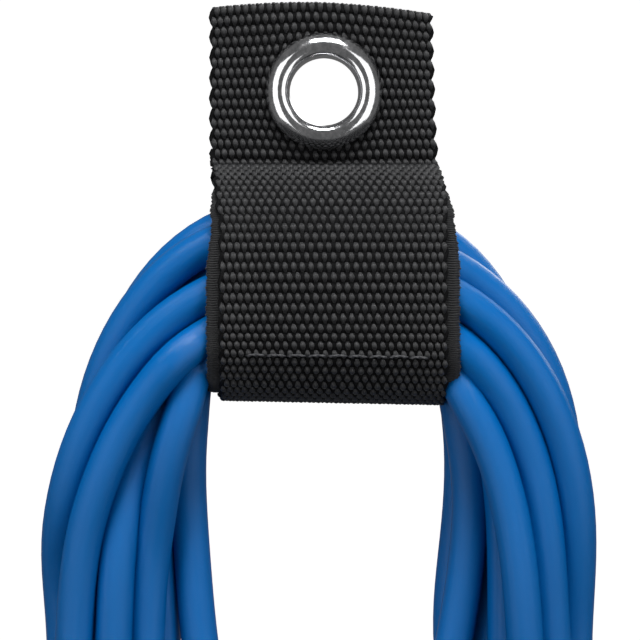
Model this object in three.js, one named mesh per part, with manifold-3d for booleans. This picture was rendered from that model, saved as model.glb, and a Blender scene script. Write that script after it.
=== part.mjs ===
// A light-duty extension cord wound into an oval coil and held by a webbing hanging strap.
// Millimetres, +Z up. The origin is the centre of the grommet's hole, X runs across the strap,
// and +Y points at the wall that the strap hangs against.
import * as THREE from 'three';
import { mergeVertices } from 'three/addons/utils/BufferGeometryUtils.js';
import Module from 'manifold-3d';

const wasm = await Module();
wasm.setup();

// Clearance between pieces that touch on the real object.
const GAP = 0.3;

// Webbing strap: 2 inch polypropylene webbing, sewn to a wider pile tape.
const WEB_WIDTH = 50.8;
const WEB_THICK = 1.8;
const TAB_TOP = 19.4;
const FOLD_RADIUS = 1.1;
const TONGUE_END = -46;
const CREASE = -17.2;
const PILE_WIDTH = 56;
const PILE_THICK = 1.2;
const PILE_START = [-22.6, -31.5];
const CLOSURE_WIDTH = 46;
const CLOSURE_THICK = 1;
const STRAP_FRONT = -25.6;
const STRAP_BOTTOM = -72.6;
const HINGE_Y = 1.65;
const FLAP_Y = 5.8;
const FLAP_TOP = -19.5;
const THREAD_RADIUS = 0.35;
const FRONT_SEAM = -61.5;

// Grommet: the hole, the barrel pressed through the webbing, and the flanges either side of it.
const HOLE_RADIUS = 7.85;
const BARREL_RADIUS = 8.75;
const FLANGE_RADIUS = 13.35;
const WEB_HOLE_RADIUS = BARREL_RADIUS + GAP;

// Jacketed cord and the oval coil it is wound into.
const CORD_RADIUS = 4.2;
const COIL_HALF_WIDTH = 63;
const COIL_TOP = -28.5;
const COIL_BOTTOM = -405;
const COIL_INNER_HALF = 28.8;
const COIL_INNER_TOP = -58;
const COIL_INNER_CORNER = 10;
const COIL_FRONT = -21.7;
const COIL_BACK = -1.1;
const COIL_ROUND_DEPTH = 9;
const COIL_ROUND_SIZE = 12;
const COIL_MID_Y = (COIL_FRONT + COIL_BACK) / 2;

// Standard 15 A three-pin plug and connector.
const BLADE_SPACING = 12.7;
const BLADE_THICK = 1.5;
const LINE_WIDTH = 6.35;
const NEUTRAL_WIDTH = 7.9;
const BLADE_LENGTH = 17.8;
const GROUND_OFFSET = 11.86;
const GROUND_RADIUS = 2.375;
const GROUND_LENGTH = 21;
const BLADE_LINE_Y = 5;
const GROUND_Y = BLADE_LINE_Y - GROUND_OFFSET;
const WIRE_RADIUS = 1.2;
const BORE_RADIUS = CORD_RADIUS + GAP;
const PLUG = {
  x: -14.7, face: -253, width: 24, depth: 25, height: 38, corner: 7,
  coreWidth: 17.4, coreDepth: 21, coreHeight: 8, pocketTop: 30, tailTop: 20, leadEnd: 28.3,
  reliefLength: 30, leadStart: -133,
};
const CONNECTOR = {
  x: 13.7, face: -262, width: 25, depth: 27, height: 48, corner: 7,
  coreWidth: 18.4, coreDepth: 21.2, coreHeight: 10, pocketTop: 42, tailTop: 31, leadEnd: 39.3,
  reliefLength: 34, leadStart: -134,
};

const material = (color, roughness, metalness) =>
  new THREE.MeshStandardMaterial({ color, roughness, metalness });
const WEBBING = material(0x1b1c1e, 0.85, 0);
const PILE = material(0x26272a, 0.95, 0);
const THREAD = material(0x303134, 0.8, 0);
const METAL = material(0xd9dadc, 0.2, 1);
const JACKET = material(0x0067b4, 0.5, 0);
const MOULDING = material(0x15171a, 0.55, 0);
const INSERT = material(0x2a2d31, 0.5, 0);
const BRASS = material(0xc9a85a, 0.3, 1);
const INSULATION = { line: material(0x111111, 0.5, 0), neutral: material(0xe8e8e8, 0.5, 0),
  ground: material(0x1f8a3b, 0.5, 0) };

const model = new THREE.Group();
const addPiece = (parent, name, geometry, finish) => {
  const mesh = new THREE.Mesh(geometry, finish);
  mesh.name = name;
  parent.add(mesh);
};

// ---- shape helpers ----

const solidOf = (geometry) => {
  const bare = geometry.clone();
  bare.deleteAttribute('normal');
  bare.deleteAttribute('uv');
  const merged = mergeVertices(bare, 1e-4);
  return new wasm.Manifold(new wasm.Mesh({
    numProp: 3,
    vertProperties: new Float32Array(merged.attributes.position.array),
    triVerts: new Uint32Array(merged.index.array),
  }));
};

const geometryOf = (solid) => {
  const mesh = solid.getMesh();
  const geometry = new THREE.BufferGeometry();
  geometry.setAttribute('position', new THREE.BufferAttribute(mesh.vertProperties, 3));
  geometry.setIndex(new THREE.BufferAttribute(mesh.triVerts, 1));
  return geometry;
};

const cut = (geometry, ...tools) =>
  geometryOf(tools.reduce((left, tool) => left.subtract(solidOf(tool)), solidOf(geometry)));

// A block standing on z = base, centred on x and y.
const block = (width, depth, height, x, y, base) =>
  new THREE.BoxGeometry(width, depth, height).translate(x, y, base + height / 2);

const cylinder = (radius, height, x, y, base) =>
  new THREE.CylinderGeometry(radius, radius, height, 32)
    .rotateX(Math.PI / 2)
    .translate(x, y, base + height / 2);

// A turned piece about Z, from [radius, z] points that run anticlockwise in the half plane.
const turned = (points, segments = 28) =>
  new THREE.LatheGeometry(points.map(([r, z]) => new THREE.Vector2(r, z)), segments)
    .rotateX(Math.PI / 2);

const roundedRectangle = (width, depth, corner) => {
  const [w, d] = [width / 2, depth / 2];
  const shape = new THREE.Shape();
  shape.absarc(w - corner, d - corner, corner, 0, Math.PI / 2);
  shape.absarc(corner - w, d - corner, corner, Math.PI / 2, Math.PI);
  shape.absarc(corner - w, corner - d, corner, Math.PI, 1.5 * Math.PI);
  shape.absarc(w - corner, corner - d, corner, 1.5 * Math.PI, 2 * Math.PI);
  return shape;
};

// Puts a profile drawn in (y, z) and extruded along its own third axis across the strap.
const acrossStrap = (geometry, width, x = 0) =>
  geometry
    .applyMatrix4(new THREE.Matrix4().makeBasis(
      new THREE.Vector3(0, 1, 0), new THREE.Vector3(0, 0, 1), new THREE.Vector3(1, 0, 0)))
    .translate(x - width / 2, 0, 0);

// A flat strip that follows a path in the (y, z) plane, moved sideways by offset.
const strip = (path, thickness, width, { offset = 0, divisions = 6, from = 0, to = 1 } = {}) => {
  const all = path.getPoints(divisions).filter((p, i, list) => i === 0 || p.distanceTo(list[i - 1]) > 1e-3);
  const points = all.slice(Math.round(from * (all.length - 1)), Math.round(to * (all.length - 1)) + 1);
  const sideways = (p, i) => {
    const along = points[Math.min(i + 1, points.length - 1)].clone().sub(points[Math.max(i - 1, 0)]);
    const length = along.length();
    return new THREE.Vector2(-along.y / length, along.x / length);
  };
  const edge = (shift) => points.map((p, i) => p.clone().addScaledVector(sideways(p, i), shift));
  const left = edge(offset + thickness / 2);
  const right = edge(offset - thickness / 2);
  const shape = new THREE.Shape([...right, ...left.reverse()]);
  return acrossStrap(new THREE.ExtrudeGeometry(shape, { depth: width, bevelEnabled: false }), width);
};

const tube = (curve, radius, sides, steps) => {
  const section = new THREE.Shape();
  section.absarc(0, 0, radius, 0, 2 * Math.PI);
  return new THREE.ExtrudeGeometry(section, { extrudePath: curve, steps, curveSegments: sides / 2 });
};

// ---- hanging strap ----

// Front leg of the strap: out from the crease, over the coil, and under it towards the wall.
const frontLeg = [
  [-6, -18.3], [-13.2, -21.3], [-20, -27.3], [-23.8, -35], [STRAP_FRONT + 0.2, -43.5],
  [STRAP_FRONT, -53], [-25, -62], [-21.4, -69], [-14, -72.2], [-6, STRAP_BOTTOM],
].map(([y, z]) => new THREE.Vector2(y, z));

const strapPath = () => {
  const path = new THREE.Path();
  path.moveTo(FOLD_RADIUS, TONGUE_END);
  path.lineTo(FOLD_RADIUS, TAB_TOP - FOLD_RADIUS - WEB_THICK / 2);
  path.absarc(0, TAB_TOP - FOLD_RADIUS - WEB_THICK / 2, FOLD_RADIUS, 0, Math.PI);
  path.lineTo(-FOLD_RADIUS, CREASE + 2);
  path.splineThru([new THREE.Vector2(-1.6, CREASE), ...frontLeg]);
  path.lineTo(HINGE_Y - GAP / 2, STRAP_BOTTOM);
  return path;
};

const pilePath = () => {
  const path = new THREE.Path();
  path.moveTo(...PILE_START);
  path.splineThru(frontLeg.slice(3));
  path.lineTo(HINGE_Y - GAP / 2, STRAP_BOTTOM);
  return path;
};

const straight = (y, low, high) => {
  const path = new THREE.Path();
  path.moveTo(y, low);
  path.lineTo(y, high);
  return path;
};

const grommetTool = () => cylinder(WEB_HOLE_RADIUS, 12, 0, 0, -6).rotateX(Math.PI / 2);

// A stitched row: one thread that zigzags across the strap along a line of constant height.
const stitchRow = (y, z, width) => {
  const pitch = 3.2;
  const rise = 0.7;
  const count = Math.floor(width / pitch);
  const corners = Array.from({ length: count + 1 }, (_, i) =>
    new THREE.Vector3((i - count / 2) * pitch, y, z + (i % 2 ? rise : -rise)));
  const curve = new THREE.CatmullRomCurve3(corners, false, 'catmullrom', 0.4);
  return tube(curve, THREAD_RADIUS, 6, count * 2);
};

const addStrap = () => {
  const web = cut(strip(strapPath(), WEB_THICK, WEB_WIDTH), grommetTool());
  addPiece(model, 'strap_webbing', web, WEBBING);
  const inside = WEB_THICK / 2 + GAP + PILE_THICK / 2;
  addPiece(model, 'pile_lining', strip(pilePath(), PILE_THICK, PILE_WIDTH, { offset: inside }), PILE);
  const patchY = FOLD_RADIUS + WEB_THICK / 2 + GAP + CLOSURE_THICK / 2;
  addPiece(model, 'loop_patch',
    strip(straight(patchY, TONGUE_END + 1, FLAP_TOP), CLOSURE_THICK, CLOSURE_WIDTH), PILE);
  const seamY = STRAP_FRONT - WEB_THICK / 2 - GAP - THREAD_RADIUS;
  addPiece(model, 'front_seam_thread', stitchRow(seamY + 0.3, FRONT_SEAM, WEB_WIDTH - 6), THREAD);
  const tongueSeamY = FOLD_RADIUS - WEB_THICK / 2 - GAP - THREAD_RADIUS;
  addPiece(model, 'tongue_seam_thread', stitchRow(tongueSeamY, TONGUE_END + 3, CLOSURE_WIDTH - 6), THREAD);
};

const addGrommet = () => {
  const front = -FOLD_RADIUS - WEB_THICK / 2 - GAP;
  const back = FOLD_RADIUS + WEB_THICK / 2 + GAP;
  // The profiles' second number runs towards the viewer, from the wall side to the front.
  const eyelet = turned([
    [HOLE_RADIUS, -back - 1.7], [BARREL_RADIUS, -back - 1.9], [BARREL_RADIUS + 2, -back - 1.5],
    [BARREL_RADIUS + 2, -back - 0.9], [BARREL_RADIUS, -back - 0.9], [BARREL_RADIUS, -front],
    [FLANGE_RADIUS - 0.3, -front], [FLANGE_RADIUS, -front + 0.5], [12.3, -front + 1.9],
    [10.9, -front + 2.7], [9.6, -front + 2.8], [8.4, -front + 2.1], [HOLE_RADIUS, -front + 0.8],
    [HOLE_RADIUS, -back - 1.7],
  ], 48);
  addPiece(model, 'grommet_eyelet', eyelet.rotateX(Math.PI / 2), METAL);
  const washer = turned([
    [WEB_HOLE_RADIUS, -back - 0.6], [FLANGE_RADIUS, -back - 0.6], [FLANGE_RADIUS, -back],
    [WEB_HOLE_RADIUS, -back], [WEB_HOLE_RADIUS, -back - 0.6],
  ], 48);
  addPiece(model, 'grommet_washer', washer.rotateX(Math.PI / 2), METAL);
};

const addFlap = () => {
  const path = new THREE.Path();
  const bend = FLAP_Y - HINGE_Y - GAP / 2 - 0.2;
  path.moveTo(HINGE_Y + GAP / 2, STRAP_BOTTOM);
  path.lineTo(FLAP_Y - bend, STRAP_BOTTOM);
  path.absarc(FLAP_Y - bend, STRAP_BOTTOM + bend, bend, -Math.PI / 2, 0);
  path.lineTo(FLAP_Y, FLAP_TOP);
  addPiece(model, 'flap_webbing', strip(path, WEB_THICK, WEB_WIDTH), WEBBING);
  const hookY = FLAP_Y - WEB_THICK / 2 - GAP - CLOSURE_THICK / 2;
  addPiece(model, 'hook_strip',
    strip(straight(hookY, STRAP_BOTTOM + 7, FLAP_TOP - 1), CLOSURE_THICK, CLOSURE_WIDTH), PILE);
  const seamY = FLAP_Y + WEB_THICK / 2 + GAP + THREAD_RADIUS;
  addPiece(model, 'flap_seam_thread', stitchRow(seamY, FLAP_TOP - 4, CLOSURE_WIDTH - 6), THREAD);
};

// ---- coiled cord ----

// The coil's outer outline is drawn inside its bevel, which rounds the edges of the bundle.
const coilOutline = () => {
  const radius = COIL_HALF_WIDTH - COIL_ROUND_SIZE;
  const shape = new THREE.Shape();
  shape.absarc(0, COIL_TOP - COIL_HALF_WIDTH, radius, 0, Math.PI);
  shape.absarc(0, COIL_BOTTOM + COIL_HALF_WIDTH, radius, Math.PI, 2 * Math.PI);
  return shape;
};

const coilOpening = () => {
  const [half, corner] = [COIL_INNER_HALF, COIL_INNER_CORNER];
  const shape = new THREE.Shape();
  shape.absarc(half - corner, COIL_INNER_TOP - corner, corner, 0, Math.PI / 2);
  shape.absarc(corner - half, COIL_INNER_TOP - corner, corner, Math.PI / 2, Math.PI);
  shape.absarc(0, COIL_BOTTOM + COIL_HALF_WIDTH, half, Math.PI, 2 * Math.PI);
  return shape;
};

const addCoil = () => {
  const depth = COIL_BACK - COIL_FRONT - 2 * COIL_ROUND_DEPTH;
  const bundle = new THREE.ExtrudeGeometry(coilOutline(), {
    depth, bevelEnabled: true, bevelThickness: COIL_ROUND_DEPTH, bevelSize: COIL_ROUND_SIZE,
    bevelSegments: 3, curveSegments: 9,
  });
  bundle.rotateX(Math.PI / 2).translate(0, COIL_MID_Y + depth / 2, 0);
  const reach = 30;
  const opening = new THREE.ExtrudeGeometry(coilOpening(), { depth: reach, bevelEnabled: false, curveSegments: 9 });
  opening.rotateX(Math.PI / 2).translate(0, COIL_MID_Y + reach / 2, 0);
  addPiece(model, 'cord_coil', cut(bundle, opening), JACKET);
};

// The tail leaves the inside of the coil, swings to the middle and drops into the strain relief.
const leadCurve = (end) => {
  const side = Math.sign(end.x);
  const at = (x, z) => new THREE.Vector3(x, COIL_MID_Y, z);
  const reliefTop = end.face + end.height + GAP + end.reliefLength;
  const start = side * (COIL_INNER_HALF - CORD_RADIUS - 2 * GAP);
  const curve = new THREE.CurvePath();
  const top = at(end.x, reliefTop + 2);
  curve.add(new THREE.CubicBezierCurve3(
    at(start, end.leadStart), at(start, end.leadStart - 18), at(end.x, reliefTop + 24), top));
  curve.add(new THREE.LineCurve3(top, at(end.x, end.face + end.leadEnd)));
  return curve;
};

// ---- plug and connector ----

// Moulded body standing on its face at z = 0, with a pocket for the insert and a bore for the cord.
const mouldedBody = (end) => {
  const bevel = 2.5;
  const shell = new THREE.ExtrudeGeometry(
    roundedRectangle(end.width - 2 * bevel, end.depth - 2 * bevel, end.corner - bevel),
    { depth: end.height - bevel, bevelEnabled: true, bevelThickness: bevel, bevelSize: bevel,
      bevelSegments: 2, curveSegments: 5 });
  const flatFace = block(end.width + 2, end.depth + 2, bevel + 1, 0, 0, -bevel - 1);
  const pocket = block(end.coreWidth + 2 * GAP, end.coreDepth + 2 * GAP, end.pocketTop + 1, 0, 0, -1);
  return cut(shell, flatFace, pocket, cylinder(BORE_RADIUS, end.height, 0, 0, end.pocketTop - 1));
};

// Tapered sleeve with bending grooves, from the body up round the cord.
const strainRelief = (end) => {
  const base = end.height + GAP;
  const grooves = 5;
  const pitch = (end.reliefLength - 4) / grooves;
  const wide = 8.6;
  const narrow = 6;
  const radiusAt = (h) => wide + (narrow - wide) * (h / end.reliefLength);
  const outside = [[wide, base]];
  for (let i = 0; i < grooves; i += 1) {
    const low = 2 + i * pitch;
    outside.push([radiusAt(low), base + low], [radiusAt(low) - 1.1, base + low + 0.6]);
    outside.push([radiusAt(low) - 1.1, base + low + 2], [radiusAt(low + 2.6), base + low + 2.6]);
  }
  outside.push([narrow, base + end.reliefLength], [BORE_RADIUS, base + end.reliefLength]);
  return turned([[BORE_RADIUS, base], ...outside, [BORE_RADIUS, base]]);
};

// Flat blade with a chamfered tip below the face and a narrow crimp tail above it.
const blade = (width) => {
  const [half, chamfer, tail] = [width / 2, 1.2, 1.6];
  const shape = new THREE.Shape([
    [chamfer - half, -BLADE_LENGTH], [half - chamfer, -BLADE_LENGTH], [half, chamfer - BLADE_LENGTH],
    [half, 12], [tail, 14], [tail, PLUG.tailTop], [-tail, PLUG.tailTop], [-tail, 14], [-half, 12],
    [-half, chamfer - BLADE_LENGTH],
  ].map(([y, z]) => new THREE.Vector2(y, z)));
  const hole = new THREE.Path();
  hole.absarc(0, 6 - BLADE_LENGTH, 1.6, 0, 2 * Math.PI);
  shape.holes.push(hole);
  const geometry = new THREE.ExtrudeGeometry(shape, { depth: BLADE_THICK, bevelEnabled: false });
  return acrossStrap(geometry, BLADE_THICK);
};

const groundPin = () => turned([
  [0, -GROUND_LENGTH], [1.4, -GROUND_LENGTH + 0.4], [GROUND_RADIUS, -GROUND_LENGTH + 2],
  [GROUND_RADIUS, 12], [1.6, 13], [1.6, PLUG.tailTop], [0, PLUG.tailTop],
], 20);

// Spring contact: two leaves that pinch a blade, joined under a crimp tail.
const bladeContact = () => {
  const shape = new THREE.Shape([
    [-1.35, 10.5], [-0.75, 10.5], [-0.75, 24], [0.75, 24], [0.75, 10.5], [1.35, 10.5],
    [1.35, 25], [0.6, 25], [0.6, CONNECTOR.tailTop], [-0.6, CONNECTOR.tailTop], [-0.6, 25], [-1.35, 25],
  ].map(([x, z]) => new THREE.Vector2(x, z)));
  const width = 5;
  return new THREE.ExtrudeGeometry(shape, { depth: width, bevelEnabled: false })
    .rotateX(Math.PI / 2)
    .translate(0, width / 2, 0);
};

const groundContact = () => turned([
  [0, 26], [2.6, 26], [2.6, 10.5], [3.2, 10.5], [3.2, 27], [1.6, 27],
  [1.6, CONNECTOR.tailTop], [0, CONNECTOR.tailTop],
], 20);

const insert = (end, slots) =>
  cut(block(end.coreWidth, end.coreDepth, end.coreHeight, 0, 0, 0), ...slots);

// Where the three insulated wires leave the cord's jacket, about the cord's own axis.
const poles = {
  line: { at: [-BLADE_SPACING / 2, BLADE_LINE_Y], spread: [-1.9, 1.1] },
  neutral: { at: [BLADE_SPACING / 2, BLADE_LINE_Y], spread: [1.9, 1.1] },
  ground: { at: [0, GROUND_Y], spread: [0, -2.2] },
};

const wire = (pole, end) => {
  const low = end.tailTop + GAP;
  const high = end.leadEnd - GAP;
  const [x, y] = pole.at;
  const [sx, sy] = pole.spread;
  const curve = new THREE.CubicBezierCurve3(
    new THREE.Vector3(x, y, low), new THREE.Vector3(x, y, low + 4),
    new THREE.Vector3(sx, sy, high - 4), new THREE.Vector3(sx, sy, high));
  return tube(curve, WIRE_RADIUS, 8, 8);
};

const endGroup = (end) => {
  const group = new THREE.Group();
  group.position.set(end.x, COIL_MID_Y, end.face);
  model.add(group);
  return group;
};

const addWires = (group, end, prefix) => {
  for (const [name, pole] of Object.entries(poles)) {
    addPiece(group, `${prefix}_${name}_wire`, wire(pole, end), INSULATION[name]);
  }
};

const addPlug = () => {
  const group = endGroup(PLUG);
  const loose = 2 * GAP;
  addPiece(group, 'plug_body', mouldedBody(PLUG), MOULDING);
  const slot = (pole, width) => block(
    BLADE_THICK + loose, width + loose, PLUG.coreHeight + 2, pole.at[0], pole.at[1], -1);
  addPiece(group, 'plug_core', insert(PLUG, [
    slot(poles.line, LINE_WIDTH), slot(poles.neutral, NEUTRAL_WIDTH),
    cylinder(GROUND_RADIUS + GAP, PLUG.coreHeight + 2, 0, GROUND_Y, -1),
  ]), INSERT);
  addPiece(group, 'line_blade', blade(LINE_WIDTH).translate(...poles.line.at, 0), BRASS);
  addPiece(group, 'neutral_blade', blade(NEUTRAL_WIDTH).translate(...poles.neutral.at, 0), BRASS);
  addPiece(group, 'ground_pin', groundPin().translate(...poles.ground.at, 0), BRASS);
  addWires(group, PLUG, 'plug');
  addPiece(group, 'plug_strain_relief', strainRelief(PLUG), MOULDING);
  addPiece(model, 'plug_lead', tube(leadCurve(PLUG), CORD_RADIUS, 10, 40), JACKET);
};

const addConnector = () => {
  const group = endGroup(CONNECTOR);
  addPiece(group, 'connector_body', mouldedBody(CONNECTOR), MOULDING);
  const slot = (pole, width) => block(2.1, width + 1, CONNECTOR.coreHeight + 2, pole.at[0], pole.at[1], -1);
  addPiece(group, 'connector_face', insert(CONNECTOR, [
    slot(poles.line, LINE_WIDTH), slot(poles.neutral, NEUTRAL_WIDTH),
    cylinder(2.7, CONNECTOR.coreHeight + 2, 0, GROUND_Y, -1),
  ]), INSERT);
  addPiece(group, 'line_contact', bladeContact().translate(...poles.line.at, 0), BRASS);
  addPiece(group, 'neutral_contact', bladeContact().translate(...poles.neutral.at, 0), BRASS);
  addPiece(group, 'ground_contact', groundContact().translate(...poles.ground.at, 0), BRASS);
  addWires(group, CONNECTOR, 'connector');
  addPiece(group, 'connector_strain_relief', strainRelief(CONNECTOR), MOULDING);
  addPiece(model, 'connector_lead', tube(leadCurve(CONNECTOR), CORD_RADIUS, 10, 40), JACKET);
};

addStrap();
addGrommet();
addFlap();
addCoil();
addPlug();
addConnector();

export default model;
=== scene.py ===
"""A light-duty extension cord, wound into an oval coil and hung by a webbing strap.

Metres in the row frame: +Z up, +X across the strap, +Y towards the wall. Sizes inside the
classes are millimetres, and MM turns them into metres.
"""

import logging
import math
import random
from dataclasses import dataclass, field
from enum import Enum
from typing import Any
import bmesh
import bpy
import numpy as np
from mathutils import Matrix, Vector, kdtree


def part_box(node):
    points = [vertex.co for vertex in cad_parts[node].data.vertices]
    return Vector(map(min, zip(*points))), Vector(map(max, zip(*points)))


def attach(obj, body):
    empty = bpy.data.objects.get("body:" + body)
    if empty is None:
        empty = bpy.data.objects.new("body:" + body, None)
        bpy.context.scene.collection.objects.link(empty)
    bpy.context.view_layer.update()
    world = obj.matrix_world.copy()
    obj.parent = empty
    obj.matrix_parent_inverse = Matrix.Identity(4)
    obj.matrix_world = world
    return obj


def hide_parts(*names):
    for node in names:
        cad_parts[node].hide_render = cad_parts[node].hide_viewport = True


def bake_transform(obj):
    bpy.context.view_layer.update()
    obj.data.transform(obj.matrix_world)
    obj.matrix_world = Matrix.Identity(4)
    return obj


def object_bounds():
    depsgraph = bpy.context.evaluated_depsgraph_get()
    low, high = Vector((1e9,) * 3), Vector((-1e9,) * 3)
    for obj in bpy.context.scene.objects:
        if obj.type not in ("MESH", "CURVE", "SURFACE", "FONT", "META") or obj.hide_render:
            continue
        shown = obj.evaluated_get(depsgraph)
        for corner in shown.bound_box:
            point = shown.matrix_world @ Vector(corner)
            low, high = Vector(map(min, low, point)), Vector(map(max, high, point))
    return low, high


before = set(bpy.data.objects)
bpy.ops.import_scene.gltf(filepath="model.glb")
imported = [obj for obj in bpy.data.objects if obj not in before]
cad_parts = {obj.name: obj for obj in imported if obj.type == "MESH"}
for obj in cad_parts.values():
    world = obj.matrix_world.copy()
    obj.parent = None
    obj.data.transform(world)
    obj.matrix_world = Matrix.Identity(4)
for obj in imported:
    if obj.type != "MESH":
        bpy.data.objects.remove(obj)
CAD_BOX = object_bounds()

logging.basicConfig(level=logging.INFO, format="%(message)s")
LOG = logging.getLogger("hung_cord")

MM = 0.001
ROOT = "hung_cord"
FLAP = "closure_flap"
SEED = 7


# ---- finishes ----


def srgb(code: str) -> tuple[float, float, float, float]:
    """Turns a hex sRGB colour into linear RGBA.

    Args:
        code: Colour such as "#0067B4".

    Returns:
        The linear colour with alpha 1.
    """
    parts = [int(code[i : i + 2], 16) / 255 for i in (1, 3, 5)]
    linear = [c / 12.92 if c <= 0.04045 else ((c + 0.055) / 1.055) ** 2.4 for c in parts]
    return (*linear, 1.0)


def add_node(
    tree: bpy.types.NodeTree,
    kind: str,
    settings: dict[Any, Any] | None = None,
    links: dict[Any, bpy.types.NodeSocket] | None = None,
) -> bpy.types.Node:
    """Adds a node, sets its properties and inputs, and links its inputs.

    Args:
        tree: The node tree.
        kind: Node type, such as "ShaderNodeBump".
        settings: Property names, or input names or numbers, with their values.
        links: Input names or numbers with the sockets that feed them.

    Returns:
        The new node.
    """
    node = tree.nodes.new(kind)
    for key, value in (settings or {}).items():
        if isinstance(key, str) and hasattr(node, key):
            setattr(node, key, value)
        else:
            node.inputs[key].default_value = value
    for key, source in (links or {}).items():
        tree.links.new(source, node.inputs[key])
    return node


class Coords(Enum):
    """Where a finish's pattern lies."""

    OBJECT = "Object"
    SURFACE = "UV"


@dataclass(frozen=True)
class Finish:
    """One real material: its colours, gloss, and the pattern its making leaves.

    The grain runs per millimetre on object coordinates, or per unit of the piece's own UV map.
    """

    name: str
    dark: str
    light: str
    rough: tuple[float, float]
    grain: tuple[float, float, float]
    relief: float
    coords: Coords = Coords.OBJECT
    detail: float = 4.0
    contrast: tuple[float, float] = (0.35, 0.65)
    metallic: float = 0.0
    ior: float = 1.5
    sheen: float = 0.0
    specular: float = 0.5
    turn: float = 0.0
    drift_light: str | None = None

    def build(self) -> bpy.types.Material:
        """Makes the node material once and returns it."""
        made = bpy.data.materials.get(self.name)
        if made:
            return made
        made = bpy.data.materials.new(self.name)
        made.use_nodes = True
        tree = made.node_tree
        shader = tree.nodes["Principled BSDF"]
        shader.inputs["Metallic"].default_value = self.metallic
        shader.inputs["Specular IOR Level"].default_value = self.specular
        if not self.metallic:
            shader.inputs["IOR"].default_value = self.ior
        if self.sheen:
            shader.inputs["Sheen Weight"].default_value = self.sheen
            shader.inputs["Sheen Roughness"].default_value = 0.45
        place = add_node(tree, "ShaderNodeTexCoord")
        per_unit = 1.0 if self.coords is Coords.SURFACE else 1 / MM
        mapping = add_node(
            tree,
            "ShaderNodeMapping",
            {"Scale": [g * per_unit for g in self.grain], "Rotation": (0, 0, self.turn)},
            {"Vector": place.outputs[self.coords.value]},
        )
        noise = add_node(
            tree,
            "ShaderNodeTexNoise",
            {"Scale": 1.0, "Detail": self.detail, "Roughness": 0.6},
            {"Vector": mapping.outputs["Vector"]},
        )
        low, high = self.contrast
        ramp = add_node(tree, "ShaderNodeValToRGB", {}, {"Fac": noise.outputs["Fac"]})
        ramp.color_ramp.elements[0].position = low
        ramp.color_ramp.elements[0].color = srgb(self.dark)
        ramp.color_ramp.elements[1].position = high
        ramp.color_ramp.elements[1].color = srgb(self.light)
        colour = ramp.outputs["Color"]
        # Broad drift, about 12 mm long, such as handling, dust and uneven dye leave.
        drift = add_node(
            tree,
            "ShaderNodeTexNoise",
            {"Scale": 85.0, "Detail": 2.0},
            {"Vector": place.outputs["Object"]},
        )
        span = add_node(
            tree,
            "ShaderNodeMapRange",
            {"To Min": 0.0, "To Max": 0.35},
            {"Value": drift.outputs["Fac"]},
        )
        blend = add_node(
            tree,
            "ShaderNodeMix",
            {"data_type": "RGBA", 7: srgb(self.drift_light or self.light)},
            {0: span.outputs["Result"], 6: colour},
        )
        tree.links.new(blend.outputs[2], shader.inputs["Base Color"])
        gloss = add_node(
            tree,
            "ShaderNodeMapRange",
            {"From Min": 0.25, "From Max": 0.75, "To Min": self.rough[0], "To Max": self.rough[1]},
            {"Value": noise.outputs["Fac"]},
        )
        tree.links.new(gloss.outputs["Result"], shader.inputs["Roughness"])
        bump = add_node(
            tree,
            "ShaderNodeBump",
            {"Strength": 1.0, "Distance": self.relief * MM},
            {"Height": noise.outputs["Fac"]},
        )
        tree.links.new(bump.outputs["Normal"], shader.inputs["Normal"])
        return made


# Extruded PVC jacket: satin, with faint draw lines along the cord.
JACKET = Finish(
    "extruded_blue_pvc", "#0061AA", "#0065B0", (0.20, 0.27), (9.0, 900.0, 1.0), 0.05,
    Coords.SURFACE, contrast=(0.2, 0.8), specular=0.27, drift_light="#006AB4",
)
# Spun polypropylene: black, a little glossy, with filaments that run along each yarn.
YARN = Finish(
    "spun_black_polypropylene", "#040405", "#292A2D", (0.34, 0.62), (9.0, 46.0, 1.0), 0.16,
    Coords.SURFACE, detail=3.0, sheen=0.1, specular=0.6, drift_light="#242528",
)
# Crossing yarns lie in the shade of the floats and keep their filaments across the strap.
# Their colour is painted shade: darker than the warp yarns', though both are the same black yarn.
SHADED_CROSS_YARN = Finish(
    "spun_black_polypropylene_weft_painted_shade", "#020203", "#0B0B0D", (0.6, 0.8), (7.0, 900.0, 1.0), 0.1,
    Coords.SURFACE, detail=3.0, specular=0.15,
)
# Brushed knit nylon: soft, darker than the webbing, with short fibres.
PILE = Finish(
    "napped_nylon_pile", "#09090A", "#2A2B2E", (0.7, 0.95), (3.5, 3.5, 3.5), 0.35,
    detail=8.0, sheen=0.35, specular=0.25,
)
KNIT = Finish(
    "knitted_nylon_edge", "#050506", "#222326", (0.5, 0.75), (8.0, 14.0, 1.0), 0.14,
    Coords.SURFACE, detail=3.0, sheen=0.15, specular=0.4,
)
# Moulded nylon hooks: stiff bristles with a plastic gloss.
HOOKS = Finish(
    "moulded_nylon_hooks", "#08080A", "#202125", (0.3, 0.45), (1.2, 1.2, 1.2), 0.05,
)
# Bonded polyester thread: twisted plies, brighter than the webbing.
THREAD = Finish(
    "bonded_polyester_thread", "#101012", "#4A4B4F", (0.35, 0.55), (5.0, 9.0, 1.0), 0.12,
    Coords.SURFACE, detail=2.0, turn=0.6, specular=0.55,
)
# Nickel-plated brass, pressed and tumbled: mirror bright with fine mottling.
NICKEL = Finish(
    "nickel_plated_brass", "#C9CACC", "#ECECEE", (0.06, 0.2), (0.9, 0.9, 0.9), 0.02,
    detail=6.0, metallic=1.0,
)
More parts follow.
